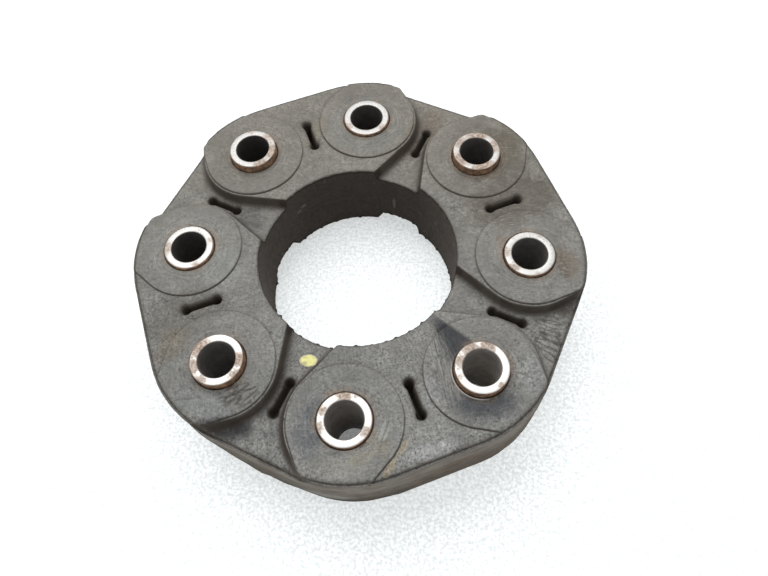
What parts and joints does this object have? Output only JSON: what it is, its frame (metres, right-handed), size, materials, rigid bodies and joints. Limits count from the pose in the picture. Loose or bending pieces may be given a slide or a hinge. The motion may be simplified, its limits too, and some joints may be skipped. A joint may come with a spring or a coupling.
{
  "type": "driveshaft flex disc",
  "caption": "Flexible rubber coupling disc for a driveshaft: steel bolt bushes in a ring, set high and low by turns, tied by hidden cord loops across thick and thin links.",
  "frame": {"origin": "middle of the disc: on its axis, half way between the ends of the high and the low bushes", "axes": "+Z along the disc axis, out of the face on which bushes 2, 4, 6 and 8 stand high; +Y through bush 1, the bushes counted counter-clockwise seen from +Z"},
  "size_m": [0.1612, 0.1612, 0.0392],
  "materials": {
    "rubber": "matte, worn",
    "bush_steel": "worn bare with rust patches",
    "cord": "wound cord",
    "collar_plastic": "moulded"
  },
  "bodies": {
    "root": {"rubber_casing": "rubber", "bush_1": "bush_steel", "bush_2": "bush_steel", "bush_3": "bush_steel", "bush_4": "bush_steel", "bush_5": "bush_steel", "bush_6": "bush_steel", "bush_7": "bush_steel", "bush_8": "bush_steel", "collar_upper_1": "collar_plastic", "collar_upper_2": "collar_plastic", "collar_upper_3": "collar_plastic", "collar_upper_4": "collar_plastic", "collar_upper_5": "collar_plastic", "collar_upper_6": "collar_plastic", "collar_upper_7": "collar_plastic", "collar_upper_8": "collar_plastic", "collar_lower_1": "collar_plastic", "collar_lower_2": "collar_plastic", "collar_lower_3": "collar_plastic", "collar_lower_4": "collar_plastic", "collar_lower_5": "collar_plastic", "collar_lower_6": "collar_plastic", "collar_lower_7": "collar_plastic", "collar_lower_8": "collar_plastic", "loop_upper_12": "cord", "loop_upper_34": "cord", "loop_upper_56": "cord", "loop_upper_78": "cord", "loop_lower_12": "cord", "loop_lower_34": "cord", "loop_lower_56": "cord", "loop_lower_78": "cord", "loop_mid_23": "cord", "loop_mid_45": "cord", "loop_mid_67": "cord", "loop_mid_81": "cord"}
  },
  "joints": []
}
